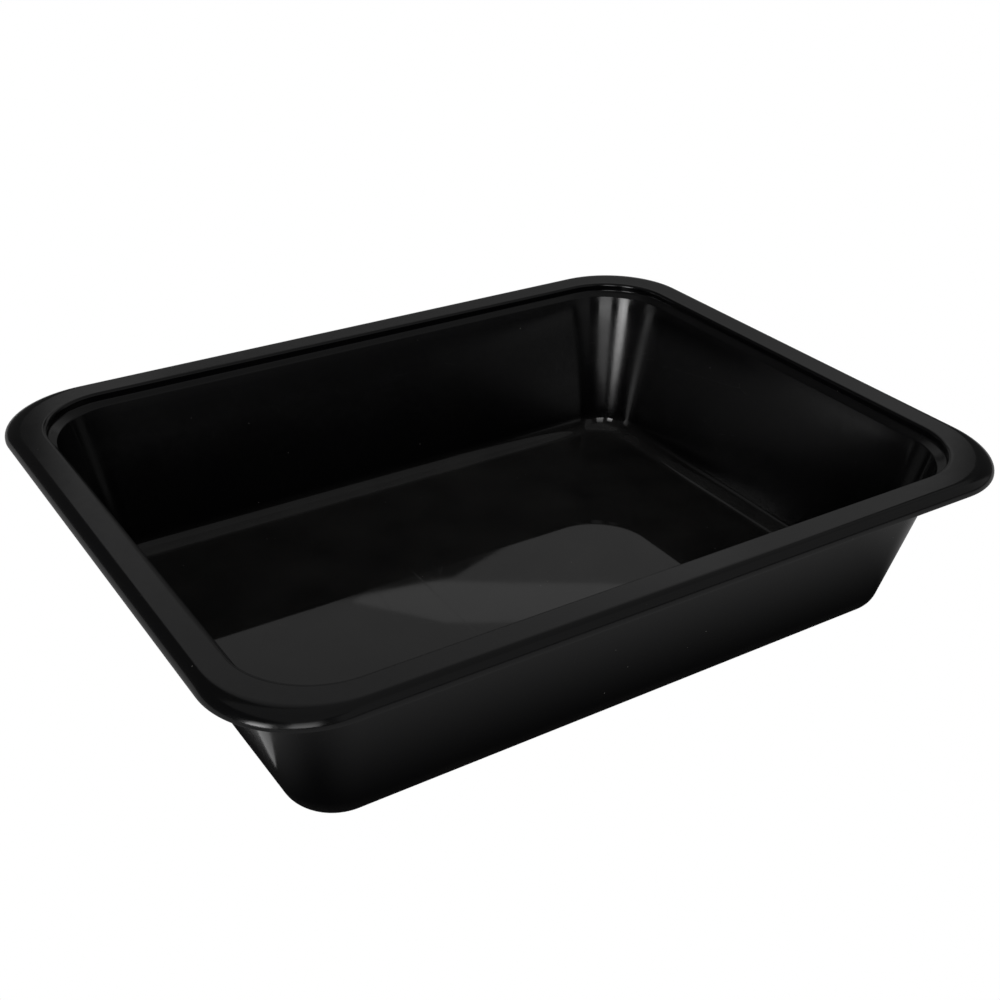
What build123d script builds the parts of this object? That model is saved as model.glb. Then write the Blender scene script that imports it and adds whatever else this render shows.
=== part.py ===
from build123d import *
import math
import os

# One-piece moulded plastic basin tray: a flat floor, four drafted walls, a flat rim that rolls over
# into a short skirt, and a sloping stacking ledge under the mouth that widens in the corners.
# Millimetres, +Z up, X along the long side. The origin is the centre of the base, on the ground.

# Overall size
tray_length = 420.0          # over the skirt, along X
tray_width = 331.0           # over the skirt, along Y
tray_height = 90.6           # ground to the top of the rim

# Plastic
wall_thickness = 2.2         # walls, rim and skirt
floor_thickness = 2.2

# Walls, which lean outwards and whose upright corners tighten towards the ground
wall_draft = math.radians(15.16)   # lean from the vertical
base_corner_radius = 22.5    # outside, where the walls' planes meet the ground
floor_fillet_radius = 10.0   # inside, between the floor and the walls

# Rim, which rolls over smoothly into a short skirt
rim_width = 17.9             # from the mouth's side out to the skirt
rim_roll_radius = 5.7        # outer face, from the rim's flat top down into the skirt
rim_corner_radius = 45.0     # in plan, over the skirt
skirt_straight = 0.6         # upright part of the skirt, below the roll
skirt_edge_radius = 0.4      # outer bottom edge of the skirt
mouth_edge_radius = 1.5      # inner edge of the rim's top

# Mouth and stacking ledge
mouth_corner_radius = 39.0
mouth_depth = 4.6            # rim's top down to the ledge's outer edge
ledge_drop = 2.2             # how far the ledge slopes down towards the basin
ledge_width_end = 3.6        # from the mouth's side in to the wall, at the short ends
ledge_width_side = 2.2       # the same along the long sides
ledge_corner_growth = 1.2    # the walls' top corners are rounder than the mouth's by this much
ledge_root_radius = 1.0      # where the mouth's side meets the ledge
ledge_nose_radius = 1.0      # where the ledge turns down into the wall

# Derived sizes
mouth_length = tray_length - 2 * rim_width
mouth_width = tray_width - 2 * rim_width
skirt_depth = rim_roll_radius + skirt_straight
skirt_bottom = tray_height - skirt_depth
ledge_root_height = tray_height - mouth_depth
ledge_nose_height = ledge_root_height - ledge_drop
wall_skin = wall_thickness / math.cos(wall_draft)      # the wall's thickness, measured level
nose_length = mouth_length - 2 * ledge_width_end + 2 * wall_skin
nose_width = mouth_width - 2 * ledge_width_side + 2 * wall_skin
nose_corner_radius = mouth_corner_radius + ledge_corner_growth + wall_thickness


def rounded_outline(length, width, radius, height):
    """A flat rounded rectangle at a height."""
    return Plane.XY.offset(height) * RectangleRounded(length, width, radius)


def rounded_slab(length, width, radius, low, high):
    """A prism with a rounded-rectangle outline, standing between two heights."""
    return extrude(rounded_outline(length, width, radius, low), high - low)


def mouth_outline(height, outward):
    """The mouth's outline at a height, moved outward from the mouth's side."""
    return rounded_outline(
        mouth_length + 2 * outward, mouth_width + 2 * outward, mouth_corner_radius + outward, height
    )


def wall_outline(height, inward):
    """The walls' outline at a height, moved inward from the outside by a thickness of plastic."""
    below_nose = ledge_nose_height - height
    shrink = 2 * below_nose * math.tan(wall_draft) + 2 * inward / math.cos(wall_draft)
    upright_share = height / ledge_nose_height
    radius = base_corner_radius + (nose_corner_radius - base_corner_radius) * upright_share - inward
    return rounded_outline(nose_length - shrink, nose_width - shrink, radius, height)


def drafted_body(low, high, inward, edge_radius):
    """The solid inside the drafted walls between two heights, with its bottom edge rounded."""
    body = loft([wall_outline(low, inward), wall_outline(high, inward)], ruled=True)
    return fillet(body.faces().sort_by(Axis.Z)[0].edges(), edge_radius)


def edges_at(solid, height):
    """The level edges of a solid that lie at one height."""
    near = 0.01
    return solid.edges().filter_by(Plane.XY).filter_by_position(Axis.Z, height - near, height + near)


def rim_blank(inward, low):
    """The rim's rolled outside, moved inward by a thickness of plastic and filled down to a height."""
    blank = rounded_slab(
        tray_length - 2 * inward, tray_width - 2 * inward, rim_corner_radius - inward,
        low, tray_height - inward
    )
    return fillet(edges_at(blank, tray_height - inward), rim_roll_radius - inward)


def rim_and_skirt():
    """The rim's flat top rolling over into its skirt, hollow underneath."""
    rim = rim_blank(0.0, skirt_bottom)
    rim = fillet(edges_at(rim, skirt_bottom), skirt_edge_radius)
    return rim - rim_blank(wall_thickness, skirt_bottom - skirt_depth)


def basin_outside():
    """The outside of the floor, the walls, the ledge and the mouth's side, up to inside the rim."""
    buried = tray_height - wall_thickness / 2
    root = ledge_root_height - wall_thickness / 2
    nose = ledge_nose_height - wall_thickness
    walls = drafted_body(0.0, nose, 0.0, floor_fillet_radius + wall_thickness)
    ledge = loft([wall_outline(nose, 0.0), mouth_outline(root, wall_thickness)], ruled=True)
    side = extrude(mouth_outline(root, wall_thickness), buried - root)
    return walls + ledge + side


def basin_cavity():
    """The open space inside: the mouth, the ledge and the basin down to the floor."""
    walls = drafted_body(floor_thickness, ledge_nose_height, wall_thickness, floor_fillet_radius)
    nose = wall_outline(ledge_nose_height, wall_thickness)
    ledge = loft([nose, mouth_outline(ledge_root_height, 0.0)], ruled=True)
    side = extrude(mouth_outline(ledge_root_height, 0.0), mouth_depth)
    cavity = walls + ledge + side
    cavity = fillet(edges_at(cavity, ledge_root_height), ledge_root_radius)
    return fillet(edges_at(cavity, ledge_nose_height), ledge_nose_radius)


def make_tray():
    """The whole tray as one moulding."""
    tray = rim_and_skirt() + basin_outside() - basin_cavity()
    mouth_edges = edges_at(tray, tray_height).filter_by(lambda edge: is_on_mouth(edge.center()))
    return fillet(mouth_edges, mouth_edge_radius)


def is_on_mouth(point):
    """True for a point of the rim's top that lies on the mouth rather than on the outer edge."""
    inside_length = abs(point.X) < mouth_length / 2 + rim_width / 2
    inside_width = abs(point.Y) < mouth_width / 2 + rim_width / 2
    return inside_length and inside_width


os.makedirs("parts", exist_ok=True)
export_step(make_tray(), "parts/tray.step")
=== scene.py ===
import math

import bpy
from mathutils import Matrix, Vector


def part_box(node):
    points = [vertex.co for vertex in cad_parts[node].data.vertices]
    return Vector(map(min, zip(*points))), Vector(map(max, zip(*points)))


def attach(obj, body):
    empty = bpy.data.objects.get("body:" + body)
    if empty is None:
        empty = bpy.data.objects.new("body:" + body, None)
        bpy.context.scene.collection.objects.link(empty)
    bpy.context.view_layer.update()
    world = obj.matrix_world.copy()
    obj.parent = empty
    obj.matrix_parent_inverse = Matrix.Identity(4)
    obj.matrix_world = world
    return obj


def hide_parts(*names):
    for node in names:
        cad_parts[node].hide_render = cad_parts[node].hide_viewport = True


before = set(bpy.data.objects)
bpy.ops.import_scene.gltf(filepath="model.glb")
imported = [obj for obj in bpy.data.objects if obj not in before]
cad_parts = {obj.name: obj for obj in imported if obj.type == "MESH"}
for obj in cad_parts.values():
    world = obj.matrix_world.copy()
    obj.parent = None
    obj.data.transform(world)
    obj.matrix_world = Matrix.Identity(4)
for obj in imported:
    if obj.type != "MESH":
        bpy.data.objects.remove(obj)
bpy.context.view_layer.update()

# ---------------------------------------------------------------------------------------------
# Tray. The whole object is one thin-walled moulding in black plastic: floor, leaning walls, a
# narrow sloping ledge for stacking, and a flat rim that rolls over into a short skirt all round.
# The skin is drawn as a stack of rounded rectangles, from the floor up the inside and down again.
# ---------------------------------------------------------------------------------------------

MM = 0.001
low_corner, high_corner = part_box("tray")
length = high_corner.x - low_corner.x
width = high_corner.y - low_corner.y
height = high_corner.z - low_corner.z

plastic = 2.2 * MM
wall_lean = math.radians(15.16)
base_radius = 22.5 * MM
floor_fillet = 10.0 * MM

rim_width = 17.9 * MM
rim_roll = 5.7 * MM
rim_radius = 45.0 * MM
shoulder_radius = 49.0 * MM
skirt_straight = 0.6 * MM
skirt_edge = 0.4 * MM

mouth_radius = 39.0 * MM
mouth_depth = 4.6 * MM
mouth_edge = 1.5 * MM
ledge_drop = 2.2 * MM
ledge_width_end = 3.6 * MM
ledge_width_side = 2.2 * MM
ledge_corner_growth = 1.2 * MM
ledge_edge = 1.0 * MM

wall_skin = plastic / math.cos(wall_lean)
mouth_half_length = length / 2 - rim_width
mouth_half_width = width / 2 - rim_width
root_height = height - mouth_depth
nose_height = root_height - ledge_drop
skirt_bottom = height - rim_roll - skirt_straight


def station(half_length, half_width, radius, level):
    """One rounded rectangle of the stack: half its length, half its width, its corners, its height."""
    return Vector((half_length, half_width, radius, level))


def rim_at(inward, level):
    """The rim's outside, moved inward, at a height."""
    return station(length / 2 - inward, width / 2 - inward, rim_radius - inward, level)


def mouth_at(outward, level):
    """The mouth's side, moved outward, at a height."""
    radius = mouth_radius + outward
    return station(mouth_half_length + outward, mouth_half_width + outward, radius, level)


def wall_at(inward, level):
    """The walls' outer face, moved inward by a thickness of plastic, at a height."""
    below = nose_height - level
    shrink = below * math.tan(wall_lean) + inward / math.cos(wall_lean) - wall_skin
    upper_radius = mouth_radius + ledge_corner_growth + plastic
    radius = base_radius + (upper_radius - base_radius) * level / nose_height - inward
    return station(
        mouth_half_length - ledge_width_end - shrink,
        mouth_half_width - ledge_width_side - shrink,
        radius,
        level,
    )


def rounded(before, corner, after, radius, steps):
    """The stations of a fillet where two faces of the profile meet."""
    def run(target):
        step = target - corner
        return step / math.hypot(step[0], step[3])

    inbound, outbound = run(before), run(after)
    turn = math.acos(max(-1.0, min(1.0, inbound[0] * outbound[0] + inbound[3] * outbound[3])))
    reach = radius / math.tan(turn / 2)
    sweep = math.pi - turn
    stations = []
    for step in range(steps + 1):
        angle = sweep * step / steps
        along_out = (radius * (1 - math.cos(angle))) / math.sin(sweep)
        along_in = radius * math.sin(angle) - along_out * math.cos(sweep)
        stations.append(corner + inbound * (reach - along_in) + outbound * along_out)
    return stations


def profile_corners():
    """The corners of the wall's section in order, each with its fillet radius and number of steps."""
    channel_top = height - plastic
    nose_under = nose_height - plastic
    root_under = root_height - plastic / 2
    return [
        (wall_at(plastic, plastic), floor_fillet, 14),
        (wall_at(plastic, nose_height), ledge_edge, 6),
        (mouth_at(0, root_height), ledge_edge, 5),
        (mouth_at(0, height), mouth_edge, 6),
        (rim_at(0, height), rim_roll, 14),
        (rim_at(0, skirt_bottom), skirt_edge, 5),
        (rim_at(plastic, skirt_bottom), 0.3 * MM, 2),
        (rim_at(plastic, channel_top), rim_roll - plastic, 8),
        (mouth_at(plastic, channel_top), 0.3 * MM, 2),
        (mouth_at(plastic, root_under), 0.5 * MM, 2),
        (wall_at(0, nose_under), 0.5 * MM, 2),
        (wall_at(0, 0), floor_fillet + plastic, 14),
    ]


def spread(start, end):
    """Stations between two others: one close to each end to keep the flats flat, the rest even."""
    gap = math.hypot(end[0] - start[0], end[3] - start[3])
    pitch = 5.0 * MM
    hold = min(0.35 * MM, gap / 4)
    steps = max(2, round(gap / pitch))
    shares = [hold / gap] + [step / steps for step in range(1, steps)] + [1 - hold / gap]
    return [start.lerp(end, share) for share in shares]


corners = profile_corners()
inwards = station(base_radius, base_radius, base_radius, 0)
floor_edge = wall_at(plastic, plastic) - inwards
ground_edge = wall_at(0, 0) - inwards
path = [floor_edge] + [corner for corner, radius, steps in corners] + [ground_edge]
rings = []
for index, (corner, radius, steps) in enumerate(corners):
    fillet = rounded(path[index], corner, path[index + 2], radius, steps)
    if rings:
        rings += spread(rings[-1], fillet[0])
    rings += fillet

# The roll is broader round the corners, so the flat of the rim has rounder corners than its skirt.
for ring in rings:
    inset = length / 2 - ring[0]
    on_flat = ring[3] > height - 0.001 * MM and inset < rim_width
    roll_drop = rim_roll - math.sqrt(max(0.0, rim_roll ** 2 - (rim_roll - inset) ** 2))
    on_roll = inset <= rim_roll and abs(height - ring[3] - roll_drop) < 0.05 * MM
    if on_roll:
        ring[2] = rim_radius + (shoulder_radius - rim_radius) * inset / rim_roll
    elif on_flat:
        share = (inset - rim_roll) / (rim_width - mouth_edge - rim_roll)
        ring[2] = shoulder_radius + (mouth_radius - shoulder_radius) * share

corner_steps = 28
long_steps = 72
short_steps = 54


def ring_points(ring):
    """One ring's points, all round from the middle of the first corner's arc to the same place."""
    half_length, half_width, radius, level = ring
    centre_x = half_length - radius
    centre_y = half_width - radius
    points = []
    for quarter, (side_x, side_y) in enumerate([(1, 1), (-1, 1), (-1, -1), (1, -1)]):
        for step in range(corner_steps + 1):
            angle = math.pi / 2 * (quarter + step / corner_steps)
            x = side_x * centre_x + radius * math.cos(angle)
            y = side_y * centre_y + radius * math.sin(angle)
            points.append(Vector((x, y, level)))
        straight_steps = short_steps if quarter % 2 else long_steps
        after_x, after_y = [(-1, 1), (-1, -1), (1, -1), (1, 1)][quarter]
        quarter_turn = math.pi / 2 * (quarter + 1)
        start = points[-1]
        end = Vector((
            after_x * centre_x + radius * math.cos(quarter_turn),
            after_y * centre_y + radius * math.sin(quarter_turn),
            level,
        ))
        for step in range(1, straight_steps):
            points.append(start.lerp(end, step / straight_steps))
    half_arc = corner_steps // 2
    return points[half_arc:] + points[:half_arc]


def fill_grid(ring):
    """A grid of points that fills a ring, its rows and columns running from side to side."""
    columns = long_steps + corner_steps
    rows = short_steps + corner_steps
    top = [ring[i] for i in range(columns + 1)]
    left = [ring[columns + i] for i in range(rows + 1)]
    bottom = [ring[columns + rows + i] for i in range(columns + 1)]
    right = [ring[(2 * columns + rows + i) % len(ring)] for i in range(rows + 1)]
    grid = []
    for row in range(rows + 1):
        down = row / rows
        line = []
        for column in range(columns + 1):
            along = column / columns
            across = top[column].lerp(bottom[columns - column], down)
            upright = right[rows - row].lerp(left[row], along)
            head = top[0].lerp(top[columns], along)
            foot = bottom[columns].lerp(bottom[0], along)
            line.append(across + upright - head.lerp(foot, down))
        grid.append(line)
    return grid


vertices = []
faces = []
around = 4 * corner_steps + 2 * (long_steps + short_steps)
for ring in rings:
    vertices += ring_points(ring)
for level in range(len(rings) - 1):
    for step in range(around):
        a = level * around + step
        b = level * around + (step + 1) % around
        faces.append((a, a + around, b + around, b))


def cap(ring_index, upward):
    """Fills one end ring with its grid, sharing the ring's own vertices round the edge."""
    columns = long_steps + corner_steps
    rows = short_steps + corner_steps
    first = ring_index * around
    grid = fill_grid(vertices[first:first + around])
    number = {}
    for row in range(rows + 1):
        for column in range(columns + 1):
            if row == 0:
                number[row, column] = first + column
            elif column == columns:
                number[row, column] = first + columns + row
            elif row == rows:
                number[row, column] = first + 2 * columns + rows - column
            elif column == 0:
                number[row, column] = first + (2 * columns + 2 * rows - row) % around
            else:
                number[row, column] = len(vertices)
                vertices.append(grid[row][column])
    for row in range(rows):
        for column in range(columns):
            loop = [number[row, column], number[row, column + 1]]
            loop += [number[row + 1, column + 1], number[row + 1, column]]
            faces.append(tuple(loop if upward else reversed(loop)))


cap(0, True)
cap(len(rings) - 1, False)

mesh = bpy.data.meshes.new("tray_moulding")
mesh.from_pydata([tuple(v) for v in vertices], [], faces)
mesh.validate()
mesh.shade_smooth()
tray = bpy.data.objects.new("tray_moulding", mesh)
bpy.context.scene.collection.objects.link(tray)


# Black plastic, taken to be ABS coloured right through: near black, with the gloss of a smooth mould.


def linear(hex_colour):
    """An sRGB hex colour as linear red, green, blue, alpha."""
    channels = [int(hex_colour[place:place + 2], 16) / 255 for place in (1, 3, 5)]
    bent = [c / 12.92 if c <= 0.04045 else ((c + 0.055) / 1.055) ** 2.4 for c in channels]
    return (*bent, 1.0)


def node(tree, kind, settings=None, **links):
    """Adds one node, sets its values and joins its inputs. Value_001 is a node's second value."""
    new = tree.nodes.new(kind)
    for name, value in (settings or {}).items():
        if name in new.inputs:
            new.inputs[name].default_value = value
        else:
            setattr(new, name, value)
    for name, source in links.items():
        socket = 1 if name == "Value_001" else name.replace("_", " ")
        tree.links.new(source, new.inputs[socket])
    return new


material = bpy.data.materials.new("polished_black_abs")
material.use_nodes = True
tree = material.node_tree
shader = tree.nodes["Principled BSDF"]
shader.inputs["IOR"].default_value = 1.5
place = node(tree, "ShaderNodeTexCoord").outputs["Object"]

# The gloss is a little uneven: broad clouds about 35 mm across, and finer patches of 4 mm.
clouds = node(tree, "ShaderNodeTexNoise", {"Scale": 1 / (35 * MM), "Detail": 3.0}, Vector=place)
rubs = node(tree, "ShaderNodeTexNoise", {"Scale": 1 / (4 * MM), "Detail": 4.0}, Vector=place)
unevenness = node(
    tree,
    "ShaderNodeMath",
    {"operation": "MULTIPLY"},
    Value=clouds.outputs["Fac"],
    Value_001=rubs.outputs["Fac"],
)
polish = node(
    tree,
    "ShaderNodeMapRange",
    {"From Min": 0.1, "From Max": 0.5, "To Min": 0.8, "To Max": 1.25},
    Value=unevenness.outputs[0],
)

# The floor has the sharpest reflections and the walls blurred ones; the ledge and rim are in between.
upright = node(tree, "ShaderNodeSeparateXYZ", {}, Vector=place)
up_share = node(
    tree,
    "ShaderNodeMapRange",
    {"From Min": 0.0, "From Max": height, "To Min": 0.0, "To Max": 1.0},
    Value=upright.outputs["Z"],
)
dulling = node(tree, "ShaderNodeValToRGB", {}, Fac=up_share.outputs[0])
stops = [(0.03, 0.03), (0.2, 0.17), (0.7, 0.22), (0.86, 0.12), (0.94, 0.2), (1.0, 0.15)]
for index, (share, rough) in enumerate(stops):
    if index > 1:
        dulling.color_ramp.elements.new(share)
    stop = dulling.color_ramp.elements[index]
    stop.position = share
    stop.color = (rough, rough, rough, 1)
finish = node(
    tree, "ShaderNodeMath", {"operation": "MULTIPLY"}, Value=polish.outputs[0], Value_001=dulling.outputs[0]
)

# Faint hairlines about 14 mm apart, which a glancing light picks out.
drawn_out = node(
    tree,
    "ShaderNodeMapping",
    {"Rotation": (0, 0, math.radians(27)), "Scale": (1.0, 0.16, 0.5)},
    Vector=place,
)
scratches = node(
    tree,
    "ShaderNodeTexVoronoi",
    {"feature": "DISTANCE_TO_EDGE", "Scale": 1 / (14 * MM), "Randomness": 1.0},
    Vector=drawn_out.outputs[0],
)
scratched = node(
    tree,
    "ShaderNodeMapRange",
    {"From Min": 0.0, "From Max": 0.002, "To Min": 0.08, "To Max": 0.0},
    Value=scratches.outputs["Distance"],
)
roughness = node(
    tree, "ShaderNodeMath", {"operation": "ADD"}, Value=finish.outputs[0], Value_001=scratched.outputs[0]
)
tree.links.new(roughness.outputs[0], shader.inputs["Roughness"])

# Dust: pale grains up to 0.5 mm in a few of the cells of a 7 mm net, and a thin film on the floor.
grains = node(
    tree, "ShaderNodeTexVoronoi", {"feature": "F1", "Scale": 1 / (7 * MM), "Randomness": 1.0}, Vector=place
)
grain_size = node(
    tree,
    "ShaderNodeMapRange",
    {"From Min": 0.018, "From Max": 0.04, "To Min": 1.0, "To Max": 0.0},
    Value=grains.outputs["Distance"],
)
scattered = node(tree, "ShaderNodeTexNoise", {"Scale": 1 / (16 * MM), "Detail": 2.0}, Vector=place)
here = node(
    tree,
    "ShaderNodeMapRange",
    {"From Min": 0.56, "From Max": 0.64, "To Min": 0.0, "To Max": 0.9},
    Value=scattered.outputs["Fac"],
)
specks = node(
    tree,
    "ShaderNodeMath",
    {"operation": "MULTIPLY"},
    Value=grain_size.outputs[0],
    Value_001=here.outputs[0],
)
settled = node(
    tree,
    "ShaderNodeMapRange",
    {"From Min": 3 * MM, "From Max": 12 * MM, "To Min": 0.09, "To Max": 0.0},
    Value=upright.outputs["Z"],
)
film = node(
    tree,
    "ShaderNodeMath",
    {"operation": "MULTIPLY"},
    Value=settled.outputs[0],
    Value_001=clouds.outputs["Fac"],
)
dust = node(
    tree, "ShaderNodeMath", {"operation": "MAXIMUM"}, Value=specks.outputs[0], Value_001=film.outputs[0]
)
tint = node(tree, "ShaderNodeMix", {"data_type": "RGBA"})
tint.inputs[6].default_value = linear("#070708")
tint.inputs[7].default_value = linear("#a09e9a")
tree.links.new(dust.outputs[0], tint.inputs[0])
tree.links.new(tint.outputs[2], shader.inputs["Base Color"])

# The skin is not quite flat: shallow waves 40 mm long and a fine grain of 0.6 mm.
waves = node(tree, "ShaderNodeTexNoise", {"Scale": 1 / (40 * MM), "Detail": 1.0}, Vector=place)
grain = node(tree, "ShaderNodeTexNoise", {"Scale": 1 / (0.6 * MM), "Detail": 2.0}, Vector=place)
sink = node(tree, "ShaderNodeBump", {"Strength": 1.0, "Distance": 0.012 * MM}, Height=waves.outputs["Fac"])
skin = node(
    tree,
    "ShaderNodeBump",
    {"Strength": 1.0, "Distance": 0.0002 * MM},
    Height=grain.outputs["Fac"],
    Normal=sink.outputs[0],
)
tree.links.new(skin.outputs[0], shader.inputs["Normal"])
mesh.materials.append(material)

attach(tray, "root")
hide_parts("tray")

# ---------------------------------------------------------------------------------------------
# Studio. Glowing cards stand round the tray where its gloss reflects them, on a bench that glows
# dimly. The camera sees none of them, only a plain white ground that the tray in turn can't reflect.
# ---------------------------------------------------------------------------------------------


def staged(name, points, polygons):
    """A piece of the studio, not of the tray, from its points and polygons."""
    made = bpy.data.meshes.new(name)
    made.from_pydata(points, [], polygons)
    thing = bpy.data.objects.new(name, made)
    bpy.context.scene.collection.objects.link(thing)
    return thing


def glow(name, low, high, bottom=0.0, top=1.0):
    """A surface lit from within, its share of full white changing from a low height to a high one."""
    made = bpy.data.materials.new(name)
    made.use_nodes = True
    glowing = made.node_tree
    glowing.nodes.clear()
    where = node(glowing, "ShaderNodeTexCoord").outputs["Object"]
    parts = node(glowing, "ShaderNodeSeparateXYZ", {}, Vector=where)
    strength = node(
        glowing,
        "ShaderNodeMapRange",
        {"From Min": bottom, "From Max": top, "To Min": low, "To Max": high},
        Value=parts.outputs["Z"],
    )
    lit = node(glowing, "ShaderNodeEmission", {}, Strength=strength.outputs[0])
    node(glowing, "ShaderNodeOutputMaterial", {}, Surface=lit.outputs[0])
    return made


def card(name, bearing, distance, outline, surface):
    """A flat upright card facing the tray, its corners given across and up in metres."""
    turn = math.radians(bearing)
    points = []
    for across, up_by in outline:
        x = distance * math.cos(turn) + across * math.sin(turn)
        y = distance * math.sin(turn) - across * math.cos(turn)
        points.append((x, y, up_by))
    made = staged(name, points, [tuple(range(len(points)))])
    made.data.materials.append(surface)
    made.visible_camera = False


# Behind the tray: a wide backdrop that fades upwards, a brighter window in it and a dark shade below.
backdrop_bearing = 56.6
backdrop_distance = 3.0
half_backdrop = 1.3
fade_from = 2.2
fade_to = 4.6
backdrop_low = [(-half_backdrop, 0.05), (half_backdrop, 0.05)]
backdrop_middle = [(half_backdrop, fade_from), (-half_backdrop, fade_from)]
backdrop_high = [(half_backdrop, fade_to), (-half_backdrop, fade_to)]
backdrop_glow = glow("backdrop_glow", 0.14, 0.29, 1.15, 1.55)
card("backdrop_card", backdrop_bearing, backdrop_distance, backdrop_low + backdrop_middle, backdrop_glow)
backdrop_fade = glow("backdrop_fade", 0.29, 0.12, fade_from, fade_to)
backdrop_top = backdrop_middle[::-1] + backdrop_high
card("backdrop_top", backdrop_bearing, backdrop_distance, backdrop_top, backdrop_fade)
window_glow = glow("window_glow", 0.47, 0.47)
window = [(-0.34, 1.9), (0.7, 1.9), (0.7, 2.02), (-0.18, 2.05), (-0.46, 1.98)]
card("window_card", backdrop_bearing, backdrop_distance - 0.01, window, window_glow)
shade_glow = glow("shade_glow", 0.03, 0.03)
shade_outline = [(-0.9, 2.05), (-0.15, 1.86), (0.13, 1.66), (0.2, 1.45), (-0.95, 1.45)]
card("shade_card", backdrop_bearing, backdrop_distance - 0.05, shade_outline, shade_glow)

# On the camera's side: a narrow bright lamp, a wide softer one, a dim side card and one overhead.
lamp_left_glow = glow("lamp_left_glow", 8.0, 1.0, 0.25, 1.2)
card("lamp_left", 202.5, 1.74, [(-0.3, 0.12), (0.25, 0.12), (0.25, 1.3), (-0.3, 1.3)], lamp_left_glow)
lamp_core_glow = glow("lamp_core_glow", 9.0, 9.0)
card("lamp_core", 202.5, 1.73, [(-0.07, 0.25), (0.07, 0.25), (0.07, 0.55), (-0.07, 0.55)], lamp_core_glow)
lamp_right_glow = glow("lamp_right_glow", 2.8, 0.7, 0.4, 1.9)
card("lamp_right", 241.0, 1.7, [(-0.3, 0.35), (0.42, 0.35), (0.42, 2.0), (-0.3, 2.0)], lamp_right_glow)
side_glow = glow("side_glow", 0.2, 0.2)
card("side_card", 312.0, 1.8, [(-1.7, 0.3), (1.7, 0.3), (1.7, 2.6), (-1.7, 2.6)], side_glow)

overhead_points = [(-1.5, -1.8, 2.6), (3.5, -1.8, 2.6), (3.5, 1.5, 2.6), (-1.5, 1.5, 2.6)]
overhead = staged("overhead_card", overhead_points, [(0, 1, 2, 3)])
overhead.data.materials.append(glow("overhead_glow", 0.16, 0.16))
overhead.visible_camera = False

# The bench glows by itself, dimmer close to the tray where a real bench would lie in its shade.
bench_points = [(-4, -4, -0.0002), (4, -4, -0.0002), (4, 4, -0.0002), (-4, 4, -0.0002)]
bench = staged("bench_top", bench_points, [(0, 1, 2, 3)])
bench_material = bpy.data.materials.new("shaded_bench")
bench_material.use_nodes = True
bench_tree = bench_material.node_tree
bench_tree.nodes.clear()
spot = node(bench_tree, "ShaderNodeTexCoord").outputs["Object"]
folded = node(bench_tree, "ShaderNodeVectorMath", {"operation": "ABSOLUTE"}, Vector=spot)
outside = node(bench_tree, "ShaderNodeVectorMath", {"operation": "SUBTRACT"}, Vector=folded.outputs[0])
outside.inputs[1].default_value = (length / 2 - 40 * MM, width / 2 - 40 * MM, 0)
clear = node(bench_tree, "ShaderNodeVectorMath", {"operation": "MAXIMUM"}, Vector=outside.outputs[0])
away = node(bench_tree, "ShaderNodeVectorMath", {"operation": "LENGTH"}, Vector=clear.outputs[0])
bench_fade = {"From Min": 0.0, "From Max": 75 * MM, "To Min": 0.01, "To Max": 0.3}
bench_fade["interpolation_type"] = "SMOOTHSTEP"
shade = node(
    bench_tree,
    "ShaderNodeMapRange",
    bench_fade,
    Value=away.outputs["Value"],
)
bench_light = node(bench_tree, "ShaderNodeEmission", {}, Strength=shade.outputs[0])
node(bench_tree, "ShaderNodeOutputMaterial", {}, Surface=bench_light.outputs[0])
bench.data.materials.append(bench_material)
bench.visible_camera = False

bounce_points = [(-0.25, -0.085, 0), (-0.18, -0.085, 0), (-0.18, 0.0, 0), (-0.25, 0.0, 0)]
bounce = staged("bounce_card", bounce_points, [(0, 1, 2, 3)])
bounce.data.materials.append(glow("bounce_glow", 0.55, 0.55))
bounce.visible_camera = False

sweep_points = [(0, 0, -0.0004)]
sweep_faces = []
around_sweep = 48
bowl = [(5.0, -0.0004), (6.5, 0.2), (7.5, 1.0), (8.0, 2.5), (8.0, 6.0)]
for reach, level in bowl:
    for step in range(around_sweep):
        angle = 2 * math.pi * step / around_sweep
        sweep_points.append((reach * math.cos(angle), reach * math.sin(angle), level))
for step in range(around_sweep):
    after = (step + 1) % around_sweep
    sweep_faces.append((0, 1 + step, 1 + after))
    for ring in range(len(bowl) - 1):
        low = 1 + ring * around_sweep
        high = low + around_sweep
        sweep_faces.append((low + step, high + step, high + after, low + after))
sweep = staged("white_sweep", sweep_points, sweep_faces)
sweep.data.materials.append(glow("white_paper", 1.0, 1.0))
for ray in ("visible_diffuse", "visible_glossy", "visible_transmission", "visible_shadow"):
    setattr(sweep, ray, False)

world = bpy.data.worlds.new("studio")
bpy.context.scene.world = world
world.use_nodes = True
world.node_tree.nodes["Background"].inputs["Color"].default_value = (1, 1, 1, 1)
world.node_tree.nodes["Background"].inputs["Strength"].default_value = 0.05

# Camera: a normal lens, sharp throughout, its frame shifted a little off the lens's middle.
camera_data = bpy.data.cameras.new("camera")
camera = bpy.data.objects.new("camera", camera_data)
bpy.context.scene.collection.objects.link(camera)
camera_data.lens = 51.96
camera_data.sensor_width = 36.0
camera_data.shift_x = -0.0078
camera_data.shift_y = 0.0159
# It looks along a bearing and down, and leans about one degree.
looks_along = math.radians(56.613)
looks_down = math.radians(29.767)
leans = math.radians(1.015)
turned = Matrix.Rotation(looks_along - math.pi / 2, 4, "Z")
tilted = Matrix.Rotation(math.pi / 2 - looks_down, 4, "X")
rolled = Matrix.Rotation(leans, 4, "Z")
stands_at = Matrix.Translation((-0.3533, -0.5498, 0.4161))
camera.matrix_world = stands_at @ turned @ tilted @ rolled
bpy.context.scene.camera = camera
bpy.context.scene.view_settings.view_transform = "Standard"
